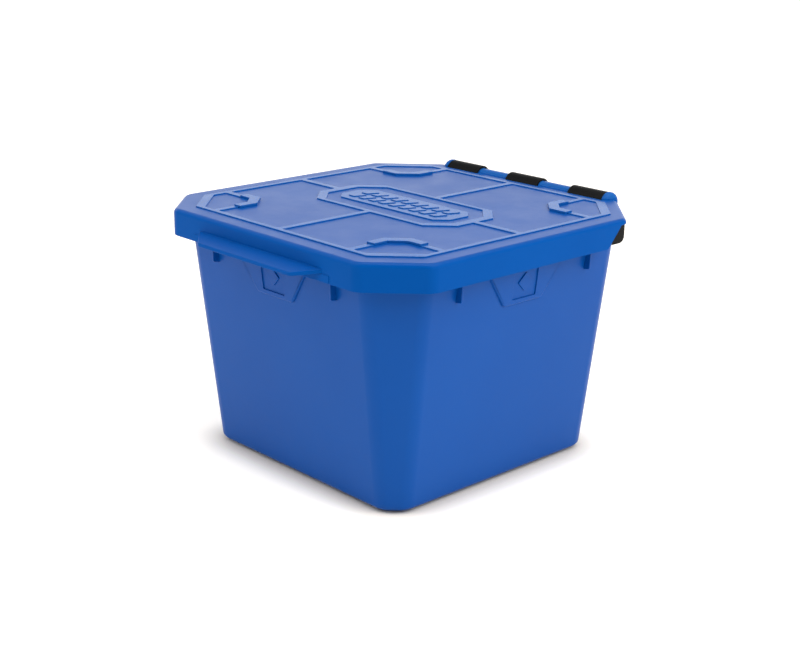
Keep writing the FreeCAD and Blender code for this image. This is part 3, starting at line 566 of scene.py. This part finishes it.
def step_rings(shell, outline, low, high, raised_inside, soft=0.45):
    """The wall between two levels along an outline. Returns its low ring and its high ring."""
    steps = 3
    rings = []
    sign = 1 if raised_inside else -1
    for k in range(steps + 1):
        a = math.pi / 2 * k / steps
        rings.append(shell.ring(offset(outline, sign * soft * (1 - math.sin(a))),
                                low + soft * (1 - math.cos(a))))
    for k in range(steps + 1):
        a = math.pi / 2 * k / steps
        rings.append(shell.ring(offset(outline, -sign * soft * (1 - math.cos(a))),
                                high - soft * (1 - math.sin(a))))
    if raised_inside:
        shell.stack(rings)
    else:
        shell.stack(rings[::-1])
    return rings[0], rings[-1]


def quadrant():
    """The sunk panel of the right rear quarter, with the side ribs standing into it."""
    a, b, c = 3.5, 149.5, 113.0
    near, far, tip = 91.8, 98.7, 126.3
    return [vec(a, 45.9), vec(73.5, 45.9), vec(96.3, 23.1), vec(96.3, a), vec(b, a),
            vec(b, near), vec(tip, near), vec(tip, far), vec(b, far), vec(b, c), vec(c, b),
            vec(far, b), vec(far, tip), vec(near, tip), vec(near, b), vec(a, b)]


def mirrored(points, sx, sy):
    out = [vec(sx * p.x, sy * p.y) for p in points]
    return out if sx * sy > 0 else out[::-1]


def make_lid_shell():
    shell, rings = Shell(), []
    bottoms = lid_kinds()
    under = LID_TOP - PLATE
    steps = 7
    # from the underside, down inside the skirt, round its foot and up to the top face
    inner_plate = shell.ring(lid_outline(SKIRT_WALL), under)
    inside = [min(z + 0.5, under) for z in bottoms]
    rings.append(inner_plate)
    rings.append(shell.ring(lid_outline(SKIRT_WALL), inside))
    rings.append(shell.ring(lid_outline(SKIRT_WALL - 0.5), bottoms))
    rings.append(shell.ring(lid_outline(0.7), bottoms))
    rings.append(shell.ring(lid_outline(0.2), [z + 0.2 for z in bottoms]))
    rings.append(shell.ring(lid_outline(0.0), [z + 0.7 for z in bottoms]))
    for k in range(steps + 1):
        a = math.pi / 2 * k / steps
        rings.append(shell.ring(lid_outline(EDGE_ROUND * (1 - math.cos(a))),
                                LID_TOP - EDGE_ROUND * (1 - math.sin(a))))
    shell.stack(rings)
    top_ring = rings[-1]
    # underside: the locating rib
    plug_out = rounded(octagon(PLUG_HALF, PLUG_CUT), 9.0, 5)
    plug_in = offset(plug_out, -PLUG_WALL)
    rib_bottom = under - PLUG_DEPTH
    plug = [shell.ring(plug_out, under), shell.ring(plug_out, rib_bottom + 0.4),
            shell.ring(offset(plug_out, -0.4), rib_bottom),
            shell.ring(offset(plug_in, 0.4), rib_bottom), shell.ring(plug_in, rib_bottom + 0.4),
            shell.ring(plug_in, under)]
    shell.stack(plug)
    shell.cap(inner_plate, [plug[0]], up=False)
    shell.cap(plug[-1], up=False)
    # top: frame rib and everything inside it
    high = LID_TOP + RIB
    frame_out = rounded(octagon(*FRAME), 3.0, 3)
    frame_low, frame_high = step_rings(shell, frame_out, LID_TOP, high, True)
    shell.cap(top_ring, [frame_low], up=True)
    holes = []
    for sx, sy in ((1, 1), (-1, 1), (-1, -1), (1, -1)):
        panel = rounded(mirrored(quadrant(), sx, sy), 0.9, 2)
        low_ring, high_ring = step_rings(shell, panel, LID_TOP, high, False)
        shell.cap(low_ring, up=True)
        holes.append(high_ring)
    badge = rounded(octagon(*BADGE), 1.5, 2)
    badge_low, badge_high = step_rings(shell, badge, LID_TOP, high, False)
    holes.append(badge_high)
    shell.cap(frame_high, holes, up=True)
    plaque = rounded(octagon(*PLAQUE), 1.5, 2)
    plaque_low, plaque_high = step_rings(shell, plaque, LID_TOP, high, True)
    shell.cap(badge_low, [plaque_low], up=True)
    shell.cap(plaque_high, up=True)
    return shell


def locator():
    out, inn, t_out, t_in, end = 88.9, 98.75, 106.8, 111.3, 126.7
    return [vec(out, t_out), vec(t_out, out), vec(end, out), vec(end, inn), vec(t_in, inn),
            vec(inn, t_in), vec(inn, end), vec(out, end)]


def make_knuckles(shell):
    """The rod, its end lugs and the grooved webs, all extruded along X."""
    shell.add(prism(circle(ROD, AXIS_Y, AXIS_Z), -(LUG_END - 1), LUG_END - 1), ALONG_X)
    start = HOOK_HALF + HOOK_GAP
    end = HOOK_PITCH - start
    e = BAY_Y
    web = [vec(e - 2, LID_TOP - 0.05), vec(e - 2, LID_TOP - PLATE + 0.05),
           vec(e + 2.7, LID_TOP - 4.9), vec(AXIS_Y, AXIS_Z - 3), vec(AXIS_Y, WEB_TOP),
           vec(e + 4.1, WEB_TOP), vec(e + 1.9, LID_TOP - 1.3), vec(e + 0.3, LID_TOP - 0.05)]
    for side in (-1, 1):
        low, high = sorted((side * LUG_START, side * LUG_END))
        ends = (0.3, 4.5) if side > 0 else (4.5, 0.3)
        shell.add(prism(circle(LUG, AXIS_Y, AXIS_Z), low, high, *ends, steps=6), ALONG_X)
        low, high = sorted((side * start, side * end))
        shell.add(prism(rounded(web, [0, 0, 1, 0, 0, 1.2, 1.2, 0.5], 3), low, high, 0.5, 0.5),
                  ALONG_X)


def make_lip(shell):
    """Finger lip: plan outline extruded, then sheared down towards its tip."""
    root, tip, reach, face = LIP_ROOT_HALF, LIP_TIP_HALF, LIP_REACH, -LID_HALF
    plan = rounded([vec(-root, face + 1), vec(-tip, face - reach), vec(tip, face - reach),
                    vec(root, face + 1)], [0, 9, 9, 0], 8)
    lip = prism(plan, -LIP_HALF_THICK, LIP_HALF_THICK, 1.2, 1.2, 4)
    for p in lip.points:
        along = (face - p.y) / reach
        p.z = LIP_ROOT_Z + (LIP_TIP_Z - LIP_ROOT_Z) * along + p.z * (1 - LIP_TAPER * along)
    shell.add(lip)
    patch = rounded([vec(-96.4, 215.6), vec(96.4, 215.6), vec(96.4, 222.5),
                     vec(-96.4, 222.5)], 1.0)
    shell.add(prism(patch, LID_HALF - 0.5, LID_HALF + 0.5, 0, 0.3),
              Matrix(((1, 0, 0, 0), (0, 0, -1, 0), (0, 1, 0, 0), (0, 0, 0, 1))))


def make_lid():
    lid = make_lid_shell()
    for sx, sy in ((1, 1), (-1, 1), (-1, -1), (1, -1)):
        lid.add(prism(rounded(mirrored(locator(), sx, sy), 0.9, 2), LID_TOP - 0.02,
                      LID_TOP + LOCATOR_RAISE, 0, 0.45, 3, flare=0.35))
    lean, half = HATCH_LEAN, HATCH_HALF
    for number in range(HATCH_COUNT):
        x = HATCH_PITCH * (number - (HATCH_COUNT - 1) / 2)
        for low, high in ((HATCH_NEAR, HATCH_FAR), (-HATCH_FAR, -HATCH_NEAR)):
            block = [vec(x - lean - half, low), vec(x - lean + half, low),
                     vec(x + lean + half, high), vec(x + lean - half, high)]
            lid.add(prism(rounded(block, 0.7, 3), LID_TOP + RIB - 0.02, LID_TOP + HATCH_RAISE,
                          0, 0.3, 3))
    make_lip(lid)
    make_knuckles(lid)
    return finish_mesh("lid_moulding", lid, "lid_body", LID_BLUE, ["lid"])


# ---------------------------------------------------------------- hinge bracket

def hook_outline():
    """Hook and stem in one outline, y and z from the hinge axis."""
    start = math.radians(-55.15)
    end = math.radians(158)
    inner_start = math.radians(-98)
    points = [vec(-1.5, -19.0), vec(6.0, -19.0)]
    count = 36
    for k in range(count + 1):
        a = start + (end - start) * k / count
        points.append(vec(HOOK * math.cos(a), HOOK * math.sin(a)))
    for k in range(count + 1):
        a = end + (inner_start - end) * k / count
        points.append(vec(BORE * math.cos(a), BORE * math.sin(a)))
    return points


def counterbored(shell):
    """The bracket's mesh with four deep holes cut from its rear face for the screws."""
    solid = bpy.data.meshes.new("bracket_solid")
    solid.from_pydata(shell.points, [], shell.faces)
    holes = Shell()
    for x in SCREW_PLACES:
        hole = prism(circle(SCREW_HOLE, x, SCREW_Z, 40), SCREW_HEAD_SEAT, BRACKET_BACK + 1)
        holes.add(hole, ALONG_Y)
    tool = bpy.data.meshes.new("bore_solid")
    tool.from_pydata(holes.points, [], holes.faces)
    for mesh in (solid, tool):
        bm = bmesh.new()
        bm.from_mesh(mesh)
        bmesh.ops.remove_doubles(bm, verts=bm.verts, dist=1e-4)
        bmesh.ops.recalc_face_normals(bm, faces=bm.faces)
        bm.to_mesh(mesh)
        bm.free()
    pieces = [bpy.data.objects.new(mesh.name, mesh) for mesh in (solid, tool)]
    for piece in pieces:
        bpy.context.scene.collection.objects.link(piece)
    cut = pieces[0].modifiers.new("bores", "BOOLEAN")
    cut.operation, cut.solver, cut.object = "DIFFERENCE", "FAST", pieces[1]
    graph = bpy.context.evaluated_depsgraph_get()
    result = pieces[0].evaluated_get(graph).to_mesh()
    out = Shell()
    out.points = [v.co.copy() for v in result.vertices]
    out.faces = [tuple(f.vertices) for f in result.polygons]
    for piece in pieces:
        bpy.data.objects.remove(piece)
    return out


def make_bracket():
    low, high = BRACKET_LOW, BRACKET_HIGH
    front_low = BASE_HALF + SLOPE * (low - FOOT) + BRACKET_GAP
    front_high = BASE_HALF + SLOPE * (high - FOOT) + BRACKET_GAP
    profile = rounded([vec(front_low, low), vec(BRACKET_BACK, low), vec(BRACKET_BACK, high),
                       vec(front_high, high)], [0.5, 7.0, 2.5, 0.5], 8)
    body = Shell()
    body.add(prism(profile, -BRACKET_HALF, BRACKET_HALF, 1.5, 1.5, 4), ALONG_X)
    bracket = counterbored(body)
    hook = [p + vec(AXIS_Y, AXIS_Z) for p in hook_outline()]
    for number in (-1, 0, 1):
        middle = number * HOOK_PITCH
        bracket.add(prism(hook, middle - HOOK_HALF, middle + HOOK_HALF, 0.6, 0.6, 3), ALONG_X)
    return finish_mesh("bracket_moulding", bracket, "tub_body", BLACK,
                       ["hinge_bracket"])


make_tub()
make_lid()
make_bracket()
for screw_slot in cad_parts["hinge_screws"].material_slots:
    screw_slot.material = zinc()


# ---------------------------------------------------------------- floor, light, camera

def area_light(name, place, aim, size, power):
    """A square white light of a size and a power in watts, turned towards aim."""
    data = bpy.data.lights.new(name, "AREA")
    data.shape = "RECTANGLE"
    data.size, data.size_y = size, size
    data.energy = power
    light = bpy.data.objects.new(name, data)
    light.location = place
    light.rotation_euler = (Vector(aim) - Vector(place)).to_track_quat("-Z", "Y").to_euler()
    bpy.context.scene.collection.objects.link(light)


def make_floor():
    """Pale paper that glows, more with distance; close to what stands on it the glow fades, a
    painted contact shadow.
    """
    mesh = bpy.data.meshes.new("studio_floor")
    size = 60.0
    mesh.from_pydata([(-size, -size, 0), (size, -size, 0), (size, size, 0), (-size, size, 0)],
                     [], [(0, 1, 2, 3)])
    floor = bpy.data.objects.new("studio_floor", mesh)
    bpy.context.scene.collection.objects.link(floor)
    nodes = Nodes("studio_paper")
    for socket, setting in (("Base Color", (0.82, 0.76, 0.68, 1)), ("Roughness", 0.9),
                            ("Specular IOR Level", 0.1), ("Emission Color", (1, 1, 1, 1))):
        nodes.shader.inputs[socket].default_value = setting
    away = nodes.add("ShaderNodeVectorMath", {0: nodes.place}, operation="LENGTH")
    contact = nodes.add("ShaderNodeAmbientOcclusion", {"Distance": 0.035}, samples=16)
    brighter = nodes.ramp(away.outputs["Value"], 0.5, 2.2, 0.52, 0.78)
    # painted contact shadow: the glow drops where ambient occlusion finds something close by
    shaded = nodes.ramp(contact.outputs["AO"], 0.45, 0.95, 0.0, 1.0)
    glow = nodes.add("ShaderNodeMath", {0: brighter, 1: shaded}, operation="MULTIPLY")
    nodes.link(glow.outputs["Value"], "Emission Strength")
    mesh.materials.append(nodes.material)


VIEWED_SIDE = (0.728, -0.686, 0.0)      # level direction from the tub to the camera


def make_world():
    """A studio: a bright low backdrop behind the tub, dimmer above and on the viewed side."""
    world = bpy.data.worlds.new("studio")
    world.use_nodes = True
    tree = world.node_tree
    background = tree.nodes["Background"]
    direction = tree.nodes.new("ShaderNodeTexCoord").outputs["Generated"]

    def grey_ramp(vector, stops):
        along = tree.nodes.new("ShaderNodeVectorMath")
        along.operation = "DOT_PRODUCT"
        along.inputs[1].default_value = vector
        tree.links.new(direction, along.inputs[0])
        unit = tree.nodes.new("ShaderNodeMapRange")
        unit.inputs["From Min"].default_value = -1.0
        tree.links.new(along.outputs["Value"], unit.inputs["Value"])
        shade = tree.nodes.new("ShaderNodeValToRGB")
        ramp = shade.color_ramp
        ramp.interpolation = "B_SPLINE"
        for element, (position, grey) in zip(ramp.elements, (stops[0], stops[-1])):
            element.position, element.color = position, (grey, grey, grey, 1)
        for position, grey in stops[1:-1]:
            ramp.elements.new(position).color = (grey, grey, grey, 1)
        tree.links.new(unit.outputs["Result"], shade.inputs["Fac"])
        return shade.outputs["Color"]

    sides = grey_ramp(VIEWED_SIDE, ((0.0, 1.0), (0.4, 0.72), (0.7, 0.52), (1.0, 0.06)))
    above = grey_ramp((0.0, 0.0, 1.0), ((0.0, 1.0), (0.64, 1.0), (0.72, 0.30), (1.0, 0.20)))
    product = tree.nodes.new("ShaderNodeMix")
    product.data_type, product.blend_type = "RGBA", "MULTIPLY"
    product.inputs["Factor"].default_value = 1.0
    colours = [socket for socket in product.inputs if socket.type == "RGBA"]
    tree.links.new(sides, colours[0])
    tree.links.new(above, colours[1])
    result = next(socket for socket in product.outputs if socket.type == "RGBA")
    tree.links.new(result, background.inputs["Color"])
    background.inputs["Strength"].default_value = 1.6
    bpy.context.scene.world = world


def make_camera():
    azimuth, elevation, roll = math.radians(46.71), math.radians(17.65), 0.012
    distance, focal_px, width_px, sensor = 1.39846, 1425.15, 800, 36.0
    back = Vector((math.sin(azimuth) * math.cos(elevation),
                   -math.cos(azimuth) * math.cos(elevation), math.sin(elevation)))
    right = Vector((math.cos(azimuth), math.sin(azimuth), 0))
    up = back.cross(right)
    target = Vector((0, 0, 0.11826)) - 0.001645 * right
    data = bpy.data.cameras.new("camera")
    data.lens = focal_px / width_px * sensor
    data.sensor_width = sensor
    camera = bpy.data.objects.new("camera", data)
    turned_right = math.cos(roll) * right + math.sin(roll) * up
    turned_up = math.cos(roll) * up - math.sin(roll) * right
    axes = Matrix((turned_right, turned_up, back)).transposed().to_4x4()
    axes.translation = target + distance * back
    camera.matrix_world = axes
    bpy.context.scene.collection.objects.link(camera)
    bpy.context.scene.camera = camera


make_floor()
make_world()
make_camera()
area_light("top", (0.2, 0.0, 2.4), (0, 0, 0.1), 1.4, 16)
area_light("left", (-0.6, -1.5, 1.6), (0, 0, 0.12), 1.9, 24)
area_light("right", (1.6, 0.4, 1.6), (0, 0, 0.12), 1.9, 41)

view = bpy.context.scene.view_settings
view.view_transform = "Standard"
view.look = "None"
